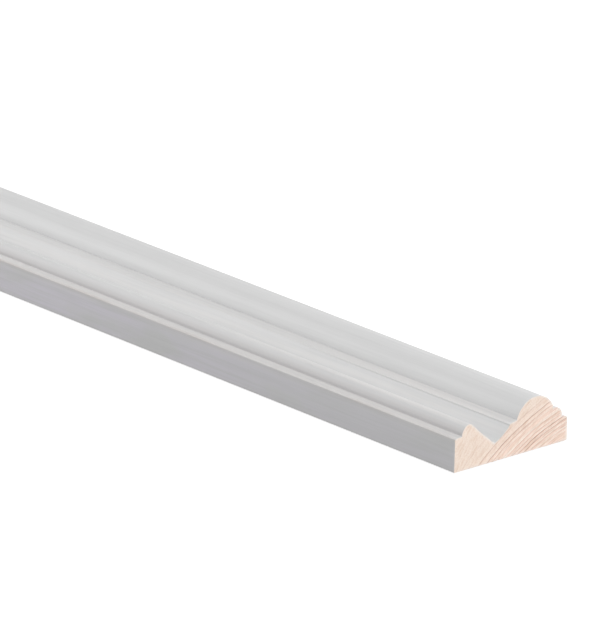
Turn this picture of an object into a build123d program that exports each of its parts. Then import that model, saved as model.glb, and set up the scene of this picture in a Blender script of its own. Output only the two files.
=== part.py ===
from build123d import *
import os
from math import radians, tan

# A decorative moulding of white-primed pine: one batten, profiled along its face and cut square at both ends.
# X runs along the length, the thick edge faces -Y, the thin edge faces +Y and the flat back lies on Z = 0.
# Sizes are in millimetres and angles in degrees.
length = 2400.0
width = 60.0
thickness = 22.0

# One cutter shapes the face, so its depths are counted down from the top of the crown.
# The bead's side is set out from the thick edge, and the crown's side from the thin edge.
# Bead, crown and quarter round each stand on a short upright step above a sloping ledge.
thick_edge_drop = 8.25
front_ledge_width = 3.7
front_ledge_slope = 7.0

# The bead leans back in a flat round from its step to a shoulder and turns over in a tight crest.
# Lean and shoulder are angles of the way that its surface faces, counted up from level.
bead_step = 1.05
bead_flank_radius = 6.0
bead_lean = 20.0
bead_shoulder = 51.0
bead_crest_radius = 2.7
bead_turn = 45.0

crown_radius = 10.4
crown_inset = 17.3
crown_lean = 18.0
crown_step = 0.4
upper_ledge_width = 3.9
upper_ledge_slope = 13.0

# The hollow between bead and crown is a V whose two sides are a little concave.
# Its lowest point lies this share of the way from the bead's end to the upper ledge.
hollow_drop = 14.5
hollow_low_share = 0.605
hollow_bottom_radius = 1.0
fall_bow = 0.2
cove_bow = 0.5
cove_riser = 0.5

# A small quarter round steps down from the crown to a sloping ledge beside the thin edge.
ovolo_radius = 3.8
ovolo_drop = 6.9
ovolo_step = 0.35
thin_ledge_width = 3.0
thin_ledge_slope = 19.0

# Planing and primer leave the arrises slightly round, the thin edge's upper one more than the others.
arris_radius = 0.5
back_arris_radius = 0.5
thin_arris_radius = 1.2


def on_circle(centre, radius, angle):
    """The point of a circle at an angle, counted from the thin edge's side towards the face."""
    return centre + Vector(radius, 0).rotate(Axis.Z, angle)


# Points of the profile, as (distance from the thick edge, height above the back).
thick_corner = Vector(0, 0)
thick_arris = Vector(0, thickness - thick_edge_drop)
bead_foot = thick_arris + Vector(front_ledge_width, front_ledge_width * tan(radians(front_ledge_slope)))
bead_spring = bead_foot + Vector(0, bead_step)
flank_start, flank_end = 180 - bead_lean, 180 - bead_shoulder
flank_centre = on_circle(bead_spring, -bead_flank_radius, flank_start)
crest_centre = on_circle(flank_centre, bead_flank_radius - bead_crest_radius, flank_end)
crest_end = 90 - bead_turn
bead_end = on_circle(crest_centre, bead_crest_radius, crest_end)

crown_centre = Vector(width - crown_inset, thickness - crown_radius)
crown_start, crown_end = 180 - crown_lean, crown_lean
crown_spring = on_circle(crown_centre, crown_radius, crown_start)
crown_far = on_circle(crown_centre, crown_radius, crown_end)
crown_foot = crown_spring - Vector(0, crown_step)
upper_arris = crown_foot - Vector(upper_ledge_width, upper_ledge_width * tan(radians(upper_ledge_slope)))
cove_end = upper_arris - Vector(0, cove_riser)
hollow_low_y = bead_end.X + hollow_low_share * (cove_end.X - bead_end.X)
hollow_bottom = Vector(hollow_low_y, thickness - hollow_drop)

ovolo_spring = Vector(width - thin_ledge_width, thickness - ovolo_drop - ovolo_radius)
ovolo_centre = ovolo_spring - Vector(ovolo_radius, 0)
ovolo_foot = ovolo_spring - Vector(0, ovolo_step)
thin_arris = ovolo_foot + Vector(thin_ledge_width, -thin_ledge_width * tan(radians(thin_ledge_slope)))
thin_corner = Vector(width, 0)

# The batten without its quarter round, drawn from the thick edge over the face to the back.
outline = [
    Polyline(thick_corner, thick_arris, bead_foot, bead_spring),
    CenterArc(flank_centre, bead_flank_radius, flank_start, flank_end - flank_start),
    CenterArc(crest_centre, bead_crest_radius, flank_end, crest_end - flank_end),
    SagittaArc(hollow_bottom, bead_end, fall_bow),
    SagittaArc(cove_end, hollow_bottom, cove_bow),
    Polyline(cove_end, upper_arris, crown_foot, crown_spring),
    CenterArc(crown_centre, crown_radius, crown_start, crown_end - crown_start),
    Polyline(crown_far, ovolo_centre, ovolo_spring, ovolo_foot),
    Polyline(ovolo_foot, thin_arris, thin_corner, thick_corner),
]
section = make_face(outline) + Pos(ovolo_centre) * Circle(ovolo_radius)

# Each corner that the tools and the primer leave round, with its radius.
rounded_corners = [
    (thick_corner, back_arris_radius),
    (thin_corner, back_arris_radius),
    (thick_arris, arris_radius),
    (upper_arris, min(arris_radius, cove_riser / 2)),
    (hollow_bottom, hollow_bottom_radius),
    (thin_arris, thin_arris_radius),
]
for corner, radius in rounded_corners:
    vertex = section.vertices().sort_by_distance(corner)[0]
    section = fillet(vertex, radius)

moulding = extrude(Plane.YZ * Pos(-width / 2, 0) * section, length / 2, both=True)

os.makedirs("parts", exist_ok=True)
export_step(moulding, "parts/moulding.step")
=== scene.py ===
import math

import bmesh
import bpy
import numpy as np
from mathutils import Matrix, Vector, noise
from mathutils.geometry import delaunay_2d_cdt


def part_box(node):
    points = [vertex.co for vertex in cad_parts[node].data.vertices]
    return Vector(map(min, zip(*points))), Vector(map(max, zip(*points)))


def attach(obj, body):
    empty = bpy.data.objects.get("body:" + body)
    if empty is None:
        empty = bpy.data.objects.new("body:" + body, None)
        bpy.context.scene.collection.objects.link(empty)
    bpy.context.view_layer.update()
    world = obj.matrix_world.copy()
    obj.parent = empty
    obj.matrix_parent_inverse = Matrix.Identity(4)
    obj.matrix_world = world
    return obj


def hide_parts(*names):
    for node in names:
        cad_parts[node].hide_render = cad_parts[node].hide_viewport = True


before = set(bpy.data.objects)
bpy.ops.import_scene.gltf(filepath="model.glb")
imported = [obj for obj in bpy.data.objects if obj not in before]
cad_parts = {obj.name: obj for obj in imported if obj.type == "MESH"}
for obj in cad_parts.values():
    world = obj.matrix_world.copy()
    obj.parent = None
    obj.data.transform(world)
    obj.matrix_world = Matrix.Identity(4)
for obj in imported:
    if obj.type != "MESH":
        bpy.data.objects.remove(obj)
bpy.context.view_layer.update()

# The moulding: one batten of pine. A moulder planes it and cuts the bead, the hollow and the crown along its
# face, the factory sprays it all round with white primer, and a cross-cut saw trims both ends to bare wood.
MM = 0.001
low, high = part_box("moulding")
length, width, thickness = [side / MM for side in high - low]
half_length = length / 2

# Sizes of the profile in millimetres and degrees, depths counted down from the top of the crown.
thick_edge_drop = 8.25
front_ledge_width = 3.7
front_ledge_rise = math.tan(math.radians(7.0))
bead_step = 1.05
bead_flank_radius = 6.0
bead_lean = 20.0
bead_shoulder = 51.0
bead_crest_radius = 2.7
bead_turn = 45.0
crown_radius = 10.4
crown_inset = 17.3
crown_lean = 18.0
crown_step = 0.4
upper_ledge_width = 3.9
upper_ledge_rise = math.tan(math.radians(13.0))
hollow_drop = 14.5
hollow_low_share = 0.605
hollow_bottom_radius = 1.0
fall_bow = 0.2
cove_bow = 0.5
cove_riser = 0.5
ovolo_radius = 3.8
ovolo_drop = 6.9
ovolo_step = 0.35
thin_ledge_width = 3.0
thin_ledge_fall = math.tan(math.radians(19.0))
arris_radius = 0.5
back_arris_radius = 0.5
thin_arris_radius = 1.2
upper_arris_radius = 0.2
spring_radius = 0.5

# Primer rounds the inner corners. The step under the upper ledge has room for a radius of 0.7 below it.
primer_in_corner_radius = 0.2
primer_under_riser_radius = 0.6

curve_points = 60


def on_circle(centre, radius, angle):
    """The point of a circle at an angle in degrees, counted from the thin edge's side towards the face."""
    turned = math.radians(angle)
    return np.array(centre) + radius * np.array([math.cos(turned), math.sin(turned)])


def arc(centre, radius, start, end):
    """Points along a circle from one angle to another."""
    return np.array([on_circle(centre, radius, angle) for angle in np.linspace(start, end, curve_points)])


def bowed(start, end, bow):
    """Points along a shallow hollow from start to end, whose middle lies bow below the chord."""
    start, end = np.array(start), np.array(end)
    across = np.array([end[1] - start[1], start[0] - end[0]]) / np.linalg.norm(end - start)
    share = np.linspace(0, 1, curve_points)[:, None]
    return start + share * (end - start) + across * bow * 4 * share * (1 - share)


def angle_at(point, centre):
    """The angle in degrees at which a point is seen from a circle's centre."""
    return math.degrees(math.atan2(point[1] - centre[1], point[0] - centre[0]))


# Corners of the profile as (distance from the thick edge, height above the back).
thick_corner = (0, 0)
thick_arris = (0, thickness - thick_edge_drop)
bead_foot = (front_ledge_width, thick_arris[1] + front_ledge_width * front_ledge_rise)
bead_spring = (front_ledge_width, bead_foot[1] + bead_step)
flank_start, flank_end = 180 - bead_lean, 180 - bead_shoulder
flank_centre = on_circle(bead_spring, -bead_flank_radius, flank_start)
crest_centre = on_circle(flank_centre, bead_flank_radius - bead_crest_radius, flank_end)
crest_end = 90 - bead_turn
bead_end = on_circle(crest_centre, bead_crest_radius, crest_end)
crown_centre = (width - crown_inset, thickness - crown_radius)
crown_start = 180 - crown_lean
crown_spring = on_circle(crown_centre, crown_radius, crown_start)
crown_foot = crown_spring - (0, crown_step)
upper_arris = crown_foot - (upper_ledge_width, upper_ledge_width * upper_ledge_rise)
cove_end = upper_arris - (0, cove_riser)
hollow_bottom = (bead_end[0] + hollow_low_share * (cove_end[0] - bead_end[0]), thickness - hollow_drop)
ovolo_centre = (width - thin_ledge_width - ovolo_radius, thickness - ovolo_drop - ovolo_radius)
ovolo_foot = (width - thin_ledge_width, ovolo_centre[1] - ovolo_step)
thin_arris = (width, ovolo_foot[1] - thin_ledge_width * thin_ledge_fall)
thin_corner = (width, 0)

# The crown meets the quarter round where their circles cross.
between = np.array(ovolo_centre) - crown_centre
apart = np.linalg.norm(between)
to_crossing = (crown_radius**2 - ovolo_radius**2 + apart**2) / (2 * apart)
off_line = math.sqrt(crown_radius**2 - to_crossing**2)
crown_end = crown_centre + (between * to_crossing + np.array([-between[1], between[0]]) * off_line) / apart

# The profile from the thick edge over the face to the back, each stretch with the radius of the corner at
# its end.
bead_line = [
    *arc(flank_centre, bead_flank_radius, flank_start, flank_end),
    *arc(crest_centre, bead_crest_radius, flank_end, crest_end)[1:],
]
crown_line = arc(crown_centre, crown_radius, crown_start, angle_at(crown_end, crown_centre))
ovolo_line = [*arc(ovolo_centre, ovolo_radius, angle_at(crown_end, ovolo_centre), 0), ovolo_foot]
stretches = [
    ("thick edge", [thick_corner, thick_arris], arris_radius),
    ("ledge", [thick_arris, bead_foot], primer_in_corner_radius),
    ("step", [bead_foot, bead_spring], spring_radius),
    ("bead", bead_line, primer_in_corner_radius),
    ("hollow", bowed(bead_end, hollow_bottom, fall_bow), hollow_bottom_radius),
    ("hollow", bowed(hollow_bottom, cove_end, cove_bow), primer_under_riser_radius),
    ("riser", [cove_end, upper_arris], upper_arris_radius),
    ("ledge", [upper_arris, crown_foot], primer_in_corner_radius),
    ("step", [crown_foot, crown_spring], spring_radius),
    ("crown", crown_line, primer_in_corner_radius),
    ("quarter round", ovolo_line, primer_in_corner_radius),
    ("ledge", [ovolo_foot, thin_arris], thin_arris_radius),
    ("thin edge", [thin_arris, thin_corner], back_arris_radius),
    ("back", [thin_corner, thick_corner], back_arris_radius),
]


def distances_along(line):
    """The distance of each point of a line from its start."""
    return np.concatenate([[0], np.cumsum(np.linalg.norm(np.diff(line, axis=0), axis=1))])


def point_along(line, run, distance):
    """The point, or points, of a line at a distance from its start."""
    return np.array([np.interp(distance, run, line[:, axis]) for axis in (0, 1)]).T


# The outline that is swept along the batten: points along each stretch, and a bend round each corner.
outline_step = 0.4
bend_step = math.radians(12)
least_gap = 0.02
lines = [np.array(line, float) for _, line, _ in stretches]
turns = []
trims = []
for (_, _, radius), line, next_line in zip(stretches, lines, lines[1:] + lines[:1]):
    came = line[-1] - line[-2]
    goes = next_line[1] - next_line[0]
    turns.append(abs(math.atan2(came[0] * goes[1] - came[1] * goes[0], came @ goes)))
    trims.append(radius * math.tan(turns[-1] / 2))
outline = []
outline_names = []
for index, (name, _, _) in enumerate(stretches):
    line, next_line = lines[index], lines[(index + 1) % len(lines)]
    run = distances_along(line)
    kept_length = run[-1] - trims[index - 1] - trims[index]
    kept = np.linspace(trims[index - 1], run[-1] - trims[index], math.ceil(kept_length / outline_step) + 1)
    bend_start = point_along(line, run, kept[-1])
    bend_end = point_along(next_line, distances_along(next_line), trims[index])
    share = np.linspace(0, 1, math.ceil(turns[index] / bend_step) + 2)[1:-1, None]
    bend = (1 - share) ** 2 * bend_start + 2 * share * (1 - share) * line[-1] + share**2 * bend_end
    outline.extend([*point_along(line, run, kept), *bend])
    outline_names.extend([name] * len(kept) + ["bend"] * len(bend))
outline = np.array(outline)
apart_enough = np.linalg.norm(outline - np.roll(outline, 1, axis=0), axis=1) > least_gap
outline = outline[apart_enough]
outline_names = np.array(outline_names)[apart_enough]
outline_count = len(outline)
run = distances_along(np.vstack([outline, outline[:1]]))
girth, round_places = run[-1], run[:-1]

# Rings of points along the batten, with two close to each end so that the cut stays crisp.
# The saw breaks the edge of each cut back by at least the chip size.
station_step = 30.0
chip_size = 0.12
near_cut = 1.0
stations = np.concatenate([
    [-half_length + chip_size],
    np.linspace(-half_length + near_cut, half_length - near_cut, round(length / station_step)),
    [half_length - chip_size],
])

# Away from the ends the primer runs into the step under the upper ledge and leaves a soft slope.
fill_reach = 2.0
bare_near_end, filled_from_end = 60.0, 190.0
end_share = np.interp(half_length - abs(stations), [bare_near_end, filled_from_end], [1, 0])
step_middle = (cove_end + upper_arris) / 2
filled = np.flatnonzero(np.linalg.norm(outline - step_middle, axis=1) < fill_reach)
first, last = filled[0], filled[-1]
way_in = outline[first] - outline[first - 1]
way_out = outline[last + 1] - outline[last]
pull = np.linalg.norm(outline[last] - outline[first]) / 3
handles = [
    outline[first],
    outline[first] + way_in / np.linalg.norm(way_in) * pull,
    outline[last] - way_out / np.linalg.norm(way_out) * pull,
    outline[last],
]
share = (round_places[filled] - round_places[first]) / (round_places[last] - round_places[first])
share = share[:, None]
soft_outline = outline.copy()
soft_outline[filled] = sum(
    math.comb(3, power) * (1 - share) ** (3 - power) * share**power * handle
    for power, handle in enumerate(handles)
)
points = [
    (x, *place)
    for x, bare in zip(stations, end_share)
    for place in bare * outline + (1 - bare) * soft_outline
]
faces = []
for ring in range(len(stations) - 1):
    this_ring, next_ring = ring * outline_count, (ring + 1) * outline_count
    for index in range(outline_count):
        following = (index + 1) % outline_count
        faces.append((this_ring + index, next_ring + index, next_ring + following, this_ring + following))
long_face_count = len(faces)

# The sawn ends are fine nets of triangles, so that the saw's marks and the torn fibres have a shape.
ways_along = np.roll(outline, -1, axis=0) - np.roll(outline, 1, axis=0)
outward = np.column_stack([-ways_along[:, 1], ways_along[:, 0]])
outward /= np.linalg.norm(outward, axis=1)[:, None]
net_step = 0.36
net_margin = net_step * 0.9
keep_inside, net_tolerance = 1, 1e-6
rows = np.arange(0, thickness, net_step * math.sqrt(3) / 2)
net = np.array([
    (y + (net_step / 2 if index % 2 else 0), z)
    for index, z in enumerate(rows)
    for y in np.arange(0, width, net_step)
])
edge_distances = np.array([np.linalg.norm(outline - place, axis=1) for place in net])
edge_distance, nearest_edge = edge_distances.min(axis=1), edge_distances.argmin(axis=1)
crossings = np.zeros(len(net), int)
for (y0, z0), (y1, z1) in zip(outline, np.roll(outline, -1, axis=0)):
    if z0 != z1:
        spans = (z0 > net[:, 1]) != (z1 > net[:, 1])
        crossings += spans & (net[:, 0] < y0 + (net[:, 1] - z0) / (z1 - z0) * (y1 - y0))
inside = (crossings % 2 == 1) & (edge_distance > net_margin)
net, net_distance, nearest_edge = net[inside], edge_distance[inside], nearest_edge[inside]

# Marks of a round blade and torn fibres, in millimetres. The fibres are drawn much coarser than real ones, so
# that they show.
saw_centre = (-70.0, 130.0)
saw_mark_pitch = 1.3
saw_mark_depth = 0.03
saw_wander = 0.4
saw_wander_size = 9
fibre_size = 0.5
fibre_depth = 0.04
torn_size = 3.1
torn_depth = 0.08
chip_length = 1.4
face_chip_growth = 0.2
back_chip_growth = 0.5


def patchy(place, size, layer):
    """Smooth noise from -1 to 1 in patches of a size in millimetres. Each layer has a pattern of its own."""
    return noise.noise((place[0] / size, place[1] / size, layer))


def cut_depth(place, end):
    """How far the sawn face lies below its highest points here, in millimetres."""
    blade = math.dist(place, saw_centre) + saw_wander * patchy(place, saw_wander_size, end)
    marks = 0.5 + 0.5 * math.sin(blade / saw_mark_pitch * 2 * math.pi)
    fibres = 0.5 + 0.5 * patchy(place, fibre_size, 7 * end)
    torn = max(0.0, patchy(place, torn_size, 3 * end + 0.5))
    return saw_mark_depth * marks + fibre_depth * fibres + torn_depth * torn


def chip(place, end):
    """How far the saw has broken the cut's edge back at a point of the outline, in millimetres."""
    growth = back_chip_growth if place[1] < back_arris_radius else face_chip_growth
    return chip_size + growth * max(0.0, patchy(place, chip_length, 11 * end))


# The blade enters from the thick edge's side and leaves towards the thin edge, where it drags the primer on.
entry_rim_width, exit_rim_width = 0.5, 2.5
entry_rim_strength, exit_rim_strength = 0.7, 1.0
lip_inset = 0.06
exit_share = 0.5 + 0.5 * outward[:, 0]
rim_width = entry_rim_width + exit_share * (exit_rim_width - entry_rim_width)
rim_strength = entry_rim_strength + exit_share * (exit_rim_strength - entry_rim_strength)
lip = outline - outward * lip_inset
flat = [Vector(place) for place in (*lip, *net)]
rim_of_flat = [*rim_strength, *np.clip(1 - net_distance / rim_width[nearest_edge], 0, 1)]
lip_loop = [(index, (index + 1) % outline_count) for index in range(outline_count)]
rim = [0.0] * len(points)
for end, ring in ((-1, 0), (1, len(stations) - 1)):
    ring_start = ring * outline_count
    for index, place in enumerate(outline):
        points[ring_start + index] = (end * (half_length - chip(place, end)), *place)
        rim[ring_start + index] = rim_strength[index]
    made, _, triangles, sources, _, _ = delaunay_2d_cdt(flat, lip_loop, [], keep_inside, net_tolerance)
    net_start = len(points)
    index_of = [0] * len(flat)
    for new, old in enumerate(sources):
        for index in old:
            index_of[index] = net_start + new
        place = np.array(made[new])
        points.append((end * (half_length - cut_depth(place, end)), *place))
        rim.append(rim_of_flat[old[0]])
    faces.extend(tuple(net_start + index for index in triangle) for triangle in triangles)
    for index, following in lip_loop:
        faces.append((ring_start + index, ring_start + following, index_of[following], index_of[index]))

mesh = bpy.data.meshes.new("moulding")
to_frame = np.array([0, -width / 2, 0])
mesh.from_pydata((np.array(points) + to_frame) * MM, [], faces)
moulding = bpy.data.objects.new("pine_moulding", mesh)
bpy.context.scene.collection.objects.link(moulding)

shell = bmesh.new()
shell.from_mesh(mesh)
bmesh.ops.recalc_face_normals(shell, faces=shell.faces)
shell.to_mesh(mesh)
shell.free()

sharp_angle = math.radians(40)
for face in mesh.polygons:
    face.use_smooth = True
    face.material_index = 0 if face.index < long_face_count else 1
mesh.set_sharp_from_angle(angle=sharp_angle)

# Where the coat differs: it is thin on the arrises. A darker coat is painted shade on the bead's steep side.
# A lighter coat is painted light on the front ledge and in a band under the front arris, and a painted
# highlight up the hollow. Near the ends it is also a painted highlight on the bead's crest, and painted light
# on the shaded step under the upper ledge and on the other ledges, which keep some of it away from the ends.
# Facing up is 1 on a level face and 0 on an upright one.
thin_reach = 0.8
front_arris_top = (0.35, thick_arris[1])
thin_places = [
    (front_arris_top, 0.8),
    (upper_arris, 0.1),
    (thin_arris, 0.5),
    (thick_corner, 0.2),
    (thin_corner, 0.5),
]
thin_round = [
    max(share * math.exp(-(math.dist(place, centre) / thin_reach) ** 2) for centre, share in thin_places)
    for place in outline
]
# Painted light: a lighter coat in a band under the front arris, and a painted highlight up the hollow.
painted_light_band_share = 0.5
band_under_front_arris, band_under_front_arris_reach = (0, thick_arris[1] - 1.4), 1.2
# Painted highlight up the hollow.
hollow_highlight, hollow_highlight_reach = cove_end - (2.7, 2.0), 1.7
painted_light_bands = [
    painted_light_band_share * np.exp(-(np.linalg.norm(outline - centre, axis=1) / reach) ** 2)
    for centre, reach in ((band_under_front_arris, band_under_front_arris_reach), (hollow_highlight, hollow_highlight_reach))
]
foot_margin = 0.3
# Painted highlight on the bead's crest, by how far it faces up.
crest_facing, crest_highlight_most = [0.74, 0.90], 0.8
# Painted shade on the bead's steep side.
steep_facing = [0.55, 0.85]
# Painted light on the ledges away from the ends.
far_ledge_painted_light = 0.4
across_face, facing_up = outline[:, 0], outward[:, 1]
on_bead = (across_face > bead_foot[0] - foot_margin) & (across_face < bead_end[0])
crest_highlight_share = np.interp(facing_up, crest_facing, [0, crest_highlight_most]) * on_bead
# Painted shade: a darker coat on the bead's steep side.
bead_flank_painted_shade = np.interp(facing_up, steep_facing, [1, 0]) * on_bead
on_ledge = outline_names == "ledge"
on_front_ledge = on_ledge & (across_face < bead_foot[0] + foot_margin)
# The lighter coat is painted light and painted highlights. Everywhere it lies on the bands, on the front
# ledge and partly on the other ledges. Near the ends it also lies on the crest, on the ledges and on the
# shaded step under the upper ledge.
painted_light_everywhere = np.maximum.reduce([*painted_light_bands, on_front_ledge, far_ledge_painted_light * on_ledge])
painted_light_near_ends = np.maximum.reduce([crest_highlight_share, on_ledge, outline_names == "riser"])
painted_light_along = [np.maximum(painted_light_near_ends * share, painted_light_everywhere) for share in end_share]

# The thick edge has a cool cast, less of it near the ends.
cool_loss = 0.6
cool_along = [(outline_names == "thick edge") * (1 - cool_loss * share) for share in end_share]

sawn_points = [0.0] * (len(points) - len(stations) * outline_count)
for name, values in (
    ("cut_rim", rim),
    ("thin_primer", [*np.tile(thin_round, len(stations)), *sawn_points]),
    # Painted light and painted highlights: the lighter coat.
    ("primer_painted_light", [*np.ravel(painted_light_along), *sawn_points]),
    # Painted shade: the darker coat on the bead's steep side.
    ("primer_painted_shade", [*np.tile(bead_flank_painted_shade, len(stations)), *sawn_points]),
    ("cool_primer", [*np.ravel(cool_along), *sawn_points]),
):
    mesh.attributes.new(name, "FLOAT", "POINT").data.foreach_set("value", values)

# A flat pattern for the finish: the two sawn ends below, large, and the long faces above them, unrolled.
bake = mesh.uv_layers.new(name="OFBake")
gap = 0.006
end_scale = (0.5 - 2 * gap) / width
long_floor = thickness * end_scale + 3 * gap
for face in mesh.polygons:
    for loop in face.loop_indices:
        vertex = mesh.loops[loop].vertex_index
        x, y, z = points[vertex]
        if face.index < long_face_count:
            place = round_places[vertex % outline_count] / girth
            if face.index % outline_count == outline_count - 1 and vertex % outline_count == 0:
                place = 1.0
            u = gap + (x + half_length) / length * (1 - 2 * gap)
            v = long_floor + place * (1 - gap - long_floor)
        else:
            u = gap + y * end_scale + (0.5 if face.center.x > 0 else 0.0)
            v = gap + z * end_scale
        bake.data[loop].uv = (u, v)


def linear(code):
    """An sRGB hex colour as linear light."""
    shares = [int(code[place:place + 2], 16) / 255 for place in (1, 3, 5)]
    light = [share / 12.92 if share <= 0.04045 else ((share + 0.055) / 1.055) ** 2.4 for share in shares]
    return light + [1.0]


def empty_tree(holder):
    """The node tree of a material or a world, with nothing in it."""
    holder.use_nodes = True
    holder.node_tree.nodes.clear()
    return holder.node_tree


def add_node(tree, kind, inputs=None, **settings):
    """Adds a node to a tree. Each input is a socket's value, or another node's output to link to it."""
    made = tree.nodes.new(kind)
    for name, value in settings.items():
        setattr(made, name, value)
    for name, value in (inputs or {}).items():
        if isinstance(value, bpy.types.NodeSocket):
            tree.links.new(value, made.inputs[name])
        else:
            made.inputs[name].default_value = value
    return made


def pattern_place(tree, place, along, across):
    """The place divided by a pattern's size along the batten and across it, in millimetres."""
    size = (1 / (along * MM), 1 / (across * MM), 1 / (across * MM))
    return add_node(tree, "ShaderNodeVectorMath", {0: place, 1: size}, operation="MULTIPLY").outputs[0]


def relief(tree, layers):
    """The bumps of a surface from layers of patterns, each with its height in millimetres."""
    height = 0.0
    for pattern, depth in layers:
        inputs = {0: pattern, 1: depth * MM, 2: height}
        height = add_node(tree, "ShaderNodeMath", inputs, operation="MULTIPLY_ADD").outputs[0]
    bumps = add_node(tree, "ShaderNodeBump", {"Height": height, "Strength": 1.0, "Distance": 1.0})
    return bumps.outputs[0]


# Growth rings of the pine: cylinders round the tree's pith, which lies below the batten and runs along it.
# Each ring darkens slowly from pale early wood to its late wood line, and the next one starts pale at once.
# Each late wood line has its distance from the pith in millimetres and how strongly it shows.
pith = (0.0, 54.0 * MM, -84.0 * MM)
first_radius, last_radius = 87.0, 130.0
late_wood = {
    91.6: 0.1, 92.9: 0.25, 94.8: 0.55, 96.6: 0.7, 98.1: 1.0, 99.7: 0.7, 101.4: 0.65, 104.2: 0.15,
    105.7: 0.75, 107.5: 0.8, 110.6: 0.35, 113.9: 0.08, 116.6: 0.12, 122.4: 0.04, 125.0: 0.04,
}
late_wood_end = 0.15
ring_rise = 7.0
ring_wander = 0.45
wander_along, wander_across = 260, 11

rings = bpy.data.node_groups.new("pine growth rings", "ShaderNodeTree")
rings.interface.new_socket("Place", in_out="INPUT", socket_type="NodeSocketVector")
for name in ("Ring", "Rise", "Radius", "Round"):
    rings.interface.new_socket(name, in_out="OUTPUT", socket_type="NodeSocketFloat")
place = add_node(rings, "NodeGroupInput").outputs[0]
from_pith = add_node(rings, "ShaderNodeVectorMath", {0: place, 1: pith}, operation="SUBTRACT")
cross_cut = add_node(
    rings, "ShaderNodeVectorMath", {0: from_pith.outputs[0], 1: (0, 1 / MM, 1 / MM)}, operation="MULTIPLY"
)
pith_distance = add_node(rings, "ShaderNodeVectorMath", {0: cross_cut.outputs[0]}, operation="LENGTH")
ways = add_node(rings, "ShaderNodeSeparateXYZ", {0: cross_cut.outputs[0]})
pith_angle = add_node(
    rings, "ShaderNodeMath", {0: ways.outputs["Z"], 1: ways.outputs["Y"]}, operation="ARCTAN2"
)
round_ring = add_node(
    rings,
    "ShaderNodeMath",
    {0: pith_angle.outputs[0], 1: pith_distance.outputs["Value"]},
    operation="MULTIPLY",
)
wander = add_node(
    rings,
    "ShaderNodeTexNoise",
    {"Vector": pattern_place(rings, place, wander_along, wander_across), "Scale": 1.0, "Detail": 2.0},
)
shift = add_node(
    rings,
    "ShaderNodeMath",
    {0: wander.outputs[0], 1: 2 * ring_wander, 2: -ring_wander},
    operation="MULTIPLY_ADD",
)
wandered = add_node(
    rings, "ShaderNodeMath", {0: pith_distance.outputs["Value"], 1: shift.outputs[0]}, operation="ADD"
)
ramp_place = add_node(
    rings,
    "ShaderNodeMapRange",
    {"Value": wandered.outputs[0], "From Min": first_radius, "From Max": last_radius},
)
ramp = add_node(rings, "ShaderNodeValToRGB", {0: ramp_place.outputs[0]})
stops = ramp.color_ramp.elements
stops.remove(stops[1])
stops[0].position = 0
stops[0].color = (0, 0, 0, 1)
for ring_radius, strength in late_wood.items():
    ends = ((ring_radius, strength ** (1 / ring_rise)), (ring_radius + late_wood_end, 0.0))
    for stop_radius, level in ends:
        stop = stops.new((stop_radius - first_radius) / (last_radius - first_radius))
        stop.color = (level, level, level, 1)
ring_line = add_node(rings, "ShaderNodeMath", {0: ramp.outputs[0], 1: ring_rise}, operation="POWER")
add_node(
    rings,
    "NodeGroupOutput",
    {0: ring_line.outputs[0], 1: ramp.outputs[0], 2: wandered.outputs[0], 3: round_ring.outputs[0]},
)

# White acrylic primer, sprayed on planed pine: matt to satin and a little grey, with the wood's grain showing
# through as faint long ridges and a few dust nibs. Its cast is warm where the coat is thin on an arris, and
# cool in clouds on the thick edge. The nibs are drawn coarser than real ones, so that a few show.
primer_colour = linear("#DEDEDE")
cool_primer_colour = linear("#E5E2E9")
primer_streak_colour = linear("#D6D6D6")
# Painted light and painted highlights: a lighter coat.
painted_light_primer_colour = linear("#E5E3E2")
# Painted shade: a darker coat on the bead's steep side.
painted_shade_primer_colour = linear("#D6D4D4")
thin_primer_colour = linear("#D2CBC7")

# Lengths and widths of the patterns in millimetres, and the heights of what stands up from the surface.
streak_size = (60, 1.4)
cloud_size = (34, 12)
fuzz_size = (4.0, 0.8)
thin_patch_size = (38, 7)
nib_spacing = (11, 11)
grain_height, streak_height, fuzz_height, nib_height = 0.020, 0.028, 0.016, 0.15

# A nib's foot and top are shares of the spacing, and one place in four has a nib.
nib_foot, nib_top = 0.045, 0.01
kept_nibs_from = 0.75
streak_most = 0.65
thin_patch_least, thin_patch_most = 0.4, 0.9
smoothest, roughest = 0.32, 0.40

primer = bpy.data.materials.new("white acrylic primer sprayed on planed pine")
tree = empty_tree(primer)
place = add_node(tree, "ShaderNodeTexCoord").outputs["Object"]
grain = add_node(tree, "ShaderNodeGroup", node_tree=rings)
tree.links.new(place, grain.inputs[0])
streaks = add_node(
    tree,
    "ShaderNodeTexNoise",
    {"Vector": pattern_place(tree, place, *streak_size), "Scale": 1.0, "Detail": 4.0, "Roughness": 0.55},
)
clouds = add_node(
    tree,
    "ShaderNodeTexNoise",
    {"Vector": pattern_place(tree, place, *cloud_size), "Scale": 1.0, "Detail": 2.0},
)
fuzz = add_node(
    tree,
    "ShaderNodeTexNoise",
    {"Vector": pattern_place(tree, place, *fuzz_size), "Scale": 1.0, "Detail": 1.0},
)
patches = add_node(
    tree,
    "ShaderNodeTexNoise",
    {"Vector": pattern_place(tree, place, *thin_patch_size), "Scale": 1.0, "Detail": 3.0},
)
specks = add_node(
    tree,
    "ShaderNodeTexVoronoi",
    {"Vector": pattern_place(tree, place, *nib_spacing), "Scale": 1.0, "Randomness": 1.0},
)
speck_round = add_node(
    tree,
    "ShaderNodeMapRange",
    {"Value": specks.outputs["Distance"], "From Min": nib_foot, "From Max": nib_top},
    interpolation_type="SMOOTHSTEP",
)
speck_pick = add_node(tree, "ShaderNodeSeparateColor", {0: specks.outputs["Color"]})
speck_kept = add_node(
    tree, "ShaderNodeMath", {0: speck_pick.outputs[0], 1: kept_nibs_from}, operation="GREATER_THAN"
)
nibs = add_node(
    tree, "ShaderNodeMath", {0: speck_round.outputs[0], 1: speck_kept.outputs[0]}, operation="MULTIPLY"
)

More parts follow.
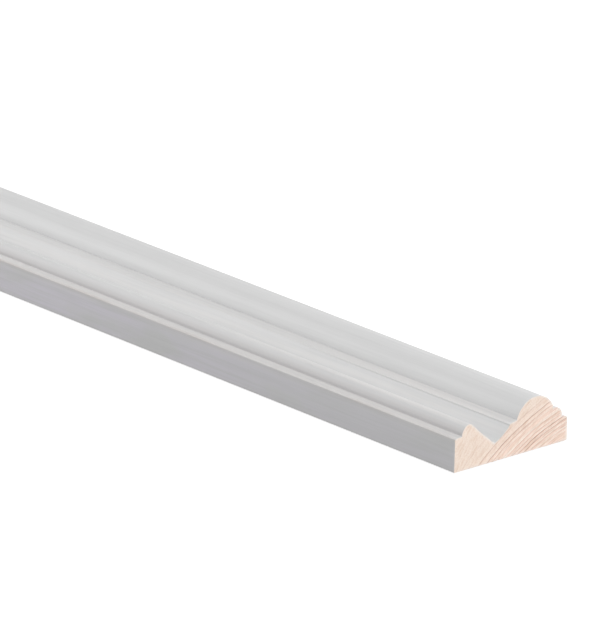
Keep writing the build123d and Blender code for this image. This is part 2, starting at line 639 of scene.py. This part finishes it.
# The coat's colour: each share of it is laid over the ones before.
cloud_share = add_node(
    tree,
    "ShaderNodeMapRange",
    {"Value": clouds.outputs[0], "From Min": 0.3, "From Max": 0.55},
    interpolation_type="SMOOTHSTEP",
)
cool_attribute = add_node(tree, "ShaderNodeAttribute", attribute_name="cool_primer")
cool_share = add_node(
    tree,
    "ShaderNodeMath",
    {0: cool_attribute.outputs["Fac"], 1: cloud_share.outputs[0]},
    operation="MULTIPLY",
)
# Painted light and painted highlights: where the lighter coat lies.
painted_light_attribute = add_node(tree, "ShaderNodeAttribute", attribute_name="primer_painted_light")
# Where the darker coat paints shade on the bead's steep side.
painted_shade_attribute = add_node(tree, "ShaderNodeAttribute", attribute_name="primer_painted_shade")
streak_share = add_node(
    tree,
    "ShaderNodeMapRange",
    {"Value": streaks.outputs[0], "From Min": 0.45, "From Max": 0.75, "To Max": streak_most},
)
patch_share = add_node(
    tree,
    "ShaderNodeMapRange",
    {
        "Value": patches.outputs[0],
        "From Min": 0.4,
        "From Max": 0.65,
        "To Min": thin_patch_least,
        "To Max": thin_patch_most,
    },
    interpolation_type="SMOOTHSTEP",
)
thin_attribute = add_node(tree, "ShaderNodeAttribute", attribute_name="thin_primer")
thin_share = add_node(
    tree,
    "ShaderNodeMath",
    {0: thin_attribute.outputs["Fac"], 1: patch_share.outputs[0]},
    operation="MULTIPLY",
)
coat = primer_colour
for share, colour in (
    (cool_share.outputs[0], cool_primer_colour),
    # Painted light and painted highlights.
    (painted_light_attribute.outputs["Fac"], painted_light_primer_colour),
    # Painted shade on the bead's steep side.
    (painted_shade_attribute.outputs["Fac"], painted_shade_primer_colour),
    (streak_share.outputs[0], primer_streak_colour),
    (thin_share.outputs[0], thin_primer_colour),
):
    coat = add_node(tree, "ShaderNodeMix", {0: share, 6: coat, 7: colour}, data_type="RGBA").outputs[2]
gloss = add_node(
    tree,
    "ShaderNodeMapRange",
    {
        "Value": streaks.outputs[0],
        "From Min": 0.3,
        "From Max": 0.7,
        "To Min": smoothest,
        "To Max": roughest,
    },
)
ridges = [
    (grain.outputs["Ring"], grain_height),
    (streaks.outputs[0], streak_height),
    (fuzz.outputs[0], fuzz_height),
    (nibs.outputs[0], nib_height),
]
surface = add_node(
    tree,
    "ShaderNodeBsdfPrincipled",
    {"Base Color": coat, "Roughness": gloss.outputs[0], "IOR": 1.5, "Normal": relief(tree, ridges)},
)
add_node(tree, "ShaderNodeOutputMaterial", {0: surface.outputs[0]})

# Pine end grain straight off a cross-cut saw: pale cream early wood, thin red-brown late wood lines,
# fine streaks beside them, dull torn fibres, and white primer dragged over the edge of the cut.
sapwood_colour = linear("#F6E6D9")
heart_colour = linear("#FDE5D7")
spring_colour = linear("#FFF5EC")
late_wood_colour = linear("#9A5026")
fibre_shade_colour = linear("#E0C4AE")
rim_colour = linear("#F2EAE3")

# Sizes in millimetres: where the heart gives way to sapwood, counted from the pith, the patterns' lengths and
# widths, the heights above the back between which the ring lines fade, and how far lines and fibres stand up.
heart_radius, sapwood_radius = 103.0, 113.0
fibre_pattern_size = (50, 0.7)
dull_patch_size = (3.2, 2.0)
line_patch_size = (8.0, 1.4)
fine_streak_size = (9.0, 0.36)
fade_from, fade_to = 5, 19
late_wood_height, fibre_height = 0.05, 0.06

# How much of each shade shows at most, and how far the late wood lines come and go.
fibre_dulling, patch_dulling = 0.5, 0.55
weakest_line, strongest_line = 0.8, 2.1
line_left_at_face = 0.5
sapwood_streaks, heart_streaks = 0.07, 0.45
rim_most = 0.8
sawn_roughness = 0.8

sawn = bpy.data.materials.new("pine end grain off the cross-cut saw")
tree = empty_tree(sawn)
place = add_node(tree, "ShaderNodeTexCoord").outputs["Object"]
grain = add_node(tree, "ShaderNodeGroup", node_tree=rings)
tree.links.new(place, grain.inputs[0])
fibres = add_node(
    tree,
    "ShaderNodeTexNoise",
    {"Vector": pattern_place(tree, place, *fibre_pattern_size), "Scale": 1.0, "Detail": 3.0},
)


def ring_pattern(along, across):
    """Noise drawn out along the growth rings, with its size along and across them in millimetres."""
    drawn = add_node(tree, "ShaderNodeCombineXYZ")
    for axis, (way, size) in enumerate((("Round", along), ("Radius", across))):
        inputs = {0: grain.outputs[way], 1: 1 / size}
        scaled = add_node(tree, "ShaderNodeMath", inputs, operation="MULTIPLY")
        tree.links.new(scaled.outputs[0], drawn.inputs[axis])
    made = add_node(tree, "ShaderNodeTexNoise", {"Vector": drawn.outputs[0], "Scale": 1.0, "Detail": 1.0})
    return made.outputs[0]


heart = add_node(
    tree,
    "ShaderNodeMapRange",
    {"Value": grain.outputs["Radius"], "From Min": sapwood_radius, "From Max": heart_radius},
    interpolation_type="SMOOTHSTEP",
)
spring_share = add_node(
    tree,
    "ShaderNodeMapRange",
    {"Value": grain.outputs["Rise"], "From Min": 0.45, "From Max": 0.0, "To Max": heart.outputs[0]},
)

# Torn fibres dull the wood in grains and in soft patches along the rings.
dull_shares = []
for pattern, most in ((fibres.outputs[0], fibre_dulling), (ring_pattern(*dull_patch_size), patch_dulling)):
    inputs = {"Value": pattern, "From Min": 0.45, "From Max": 0.75, "To Max": most}
    dull_shares.append(add_node(tree, "ShaderNodeMapRange", inputs))

# Each ring's line comes and goes along its way and fades towards the face, with finer streaks beside it.
line_strength = add_node(
    tree,
    "ShaderNodeMapRange",
    {
        "Value": ring_pattern(*line_patch_size),
        "From Min": 0.3,
        "From Max": 0.7,
        "To Min": weakest_line,
        "To Max": strongest_line,
    },
)
height_up = add_node(tree, "ShaderNodeSeparateXYZ", {0: place})
fade = add_node(
    tree,
    "ShaderNodeMapRange",
    {
        "Value": height_up.outputs["Z"],
        "From Min": fade_from * MM,
        "From Max": fade_to * MM,
        "To Min": 1.0,
        "To Max": line_left_at_face,
    },
)
ring_share = grain.outputs["Ring"]
for factor in (line_strength, fade):
    inputs = {0: ring_share, 1: factor.outputs[0]}
    ring_share = add_node(tree, "ShaderNodeMath", inputs, operation="MULTIPLY").outputs[0]
streak_depth = add_node(
    tree,
    "ShaderNodeMapRange",
    {"Value": heart.outputs[0], "To Min": sapwood_streaks, "To Max": heart_streaks},
)
streak_share = add_node(
    tree,
    "ShaderNodeMapRange",
    {
        "Value": ring_pattern(*fine_streak_size),
        "From Min": 0.5,
        "From Max": 0.8,
        "To Max": streak_depth.outputs[0],
    },
)
line_share = add_node(
    tree, "ShaderNodeMath", {0: ring_share, 1: streak_share.outputs[0]}, operation="MAXIMUM"
)
rim_attribute = add_node(tree, "ShaderNodeAttribute", attribute_name="cut_rim")
rim_rise = add_node(
    tree, "ShaderNodeMath", {0: rim_attribute.outputs["Fac"], 1: fibres.outputs[0]}, operation="ADD"
)
rim_share = add_node(
    tree,
    "ShaderNodeMapRange",
    {"Value": rim_rise.outputs[0], "From Min": 1.0, "From Max": 1.45, "To Max": rim_most},
    interpolation_type="SMOOTHSTEP",
)
wood = sapwood_colour
for share, colour in (
    (heart, heart_colour),
    (spring_share, spring_colour),
    *((dull_share, fibre_shade_colour) for dull_share in dull_shares),
    (line_share, late_wood_colour),
    (rim_share, rim_colour),
):
    inputs = {0: share.outputs[0], 6: wood, 7: colour}
    wood = add_node(tree, "ShaderNodeMix", inputs, data_type="RGBA").outputs[2]
ridges = [(grain.outputs["Ring"], late_wood_height), (fibres.outputs[0], fibre_height)]
surface = add_node(
    tree,
    "ShaderNodeBsdfPrincipled",
    {"Base Color": wood, "Roughness": sawn_roughness, "IOR": 1.5, "Normal": relief(tree, ridges)},
)
add_node(tree, "ShaderNodeOutputMaterial", {0: surface.outputs[0]})

mesh.materials.append(primer)
mesh.materials.append(sawn)
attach(moulding, "root")
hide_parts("moulding")

# The studio: a plain white floor that keeps the moulding's soft shadow, under a white room. A softbox on the
# right lights the sawn end, one on the left rolls over the crown, and the room fills the rest. Two with grids
# stay local: one lifts the crown from behind, and one lights the part that is out of the picture.
floor_size = 80.0
floor_gap = 0.0003
floor_corners = ((-1, -1), (1, -1), (1, 1), (-1, 1))
floor_mesh = bpy.data.meshes.new("floor")
floor_mesh.from_pydata(
    [(x * floor_size, y * floor_size, -floor_gap) for x, y in floor_corners], [], [(0, 1, 2, 3)]
)
floor = bpy.data.objects.new("floor", floor_mesh)
bpy.context.scene.collection.objects.link(floor)


def seen_share(tree):
    """One for rays that show a surface to the camera, straight or mirrored, and none for those that light."""
    rays = add_node(tree, "ShaderNodeLightPath")
    seen = rays.outputs["Is Camera Ray"]
    for kind in ("Is Glossy Ray", "Is Transmission Ray"):
        inputs = {0: seen, 1: rays.outputs[kind]}
        seen = add_node(tree, "ShaderNodeMath", inputs, operation="MAXIMUM").outputs[0]
    return seen


# White studio paper, matt: it takes the shadow, and a glow that only the camera sees keeps the rest white.
paper_colour = linear("#A8A8A8")
paper_glow = 0.8
paper = bpy.data.materials.new("white studio paper")
tree = empty_tree(paper)
glow = add_node(tree, "ShaderNodeMath", {0: seen_share(tree), 1: paper_glow}, operation="MULTIPLY")
lit = add_node(tree, "ShaderNodeBsdfDiffuse", {"Color": paper_colour})
white = add_node(tree, "ShaderNodeEmission", {"Strength": glow.outputs[0]})
both = add_node(tree, "ShaderNodeAddShader", {0: lit.outputs[0], 1: white.outputs[0]})
add_node(tree, "ShaderNodeOutputMaterial", {0: both.outputs[0]})
floor_mesh.materials.append(paper)

room_colour = linear("#FFFFFF")
room_strength = 0.487
world = bpy.data.worlds.new("white room")
bpy.context.scene.world = world
tree = empty_tree(world)
strength = add_node(
    tree, "ShaderNodeMapRange", {"Value": seen_share(tree), "To Min": room_strength, "To Max": 1.0}
)
sky = add_node(tree, "ShaderNodeBackground", {"Color": room_colour, "Strength": strength.outputs[0]})
add_node(tree, "ShaderNodeOutputWorld", {0: sky.outputs[0]})

# Each softbox has the place it lights, the way to it from there, its distance and size in metres, the spread
# of its light in degrees and its power in watts.
near_end = Vector((half_length * MM, 0, thickness / 2 * MM))
far_part_share = 0.28
far_part = Vector((-far_part_share * length * MM, 0, thickness / 2 * MM))
softboxes = [
    ("right softbox", near_end, (0.92, -0.10, 0.35), 2.2, 1.1, 180, 29.2),
    ("left softbox", near_end, (-0.81, -0.40, 0.47), 0.95, 0.5, 180, 1.64),
    ("back softbox with a grid", near_end, (0.1, 0.7, 0.7), 1.0, 0.3, 50, 0.17),
    ("far softbox with a grid", far_part, (0.0, -0.55, 0.83), 1.6, 1.4, 60, 2.4),
]
for name, lit_place, way, distance, size, spread, watts in softboxes:
    lamp = bpy.data.lights.new(name, "AREA")
    lamp.shape = "SQUARE"
    lamp.size = size
    lamp.spread = math.radians(spread)
    lamp.energy = watts
    holder = bpy.data.objects.new(name, lamp)
    bpy.context.scene.collection.objects.link(holder)
    way = Vector(way).normalized()
    holder.location = lit_place + way * distance
    holder.rotation_euler = way.to_track_quat("Z", "Y").to_euler()

# The camera: a long lens on the thick edge's side of the near end, looking down at it, with a slight roll.
image_width, image_height = 616, 619
focal_pixels = 7376.0
azimuth, elevation, roll = [math.radians(angle) for angle in (47.72, 19.07, 1.32)]
near_corner = Vector((high.x, low.y, low.z))
near_corner_pixel = (454.3, 473.4)
camera_distance = 2.843

back = Vector((
    math.sin(azimuth) * math.cos(elevation),
    -math.cos(azimuth) * math.cos(elevation),
    math.sin(elevation),
))
level = Vector((math.cos(azimuth), math.sin(azimuth), 0))
upright = back.cross(level)
right = math.cos(roll) * level + math.sin(roll) * upright
up = -math.sin(roll) * level + math.cos(roll) * upright
metres_per_pixel = camera_distance / focal_pixels
aside = (near_corner_pixel[0] - image_width / 2) * metres_per_pixel
above = (image_height / 2 - near_corner_pixel[1]) * metres_per_pixel
lens = bpy.data.cameras.new("camera")
lens.sensor_width = 36.0
lens.lens = focal_pixels / max(image_width, image_height) * lens.sensor_width
lens.clip_start, lens.clip_end = 0.1, 200.0
camera = bpy.data.objects.new("camera", lens)
bpy.context.scene.collection.objects.link(camera)
turn = Matrix((right, up, back)).transposed().to_4x4()
stand = near_corner - right * aside - up * above + back * camera_distance
camera.matrix_world = Matrix.Translation(stand) @ turn
bpy.context.scene.camera = camera
bpy.context.scene.view_settings.view_transform = "Standard"
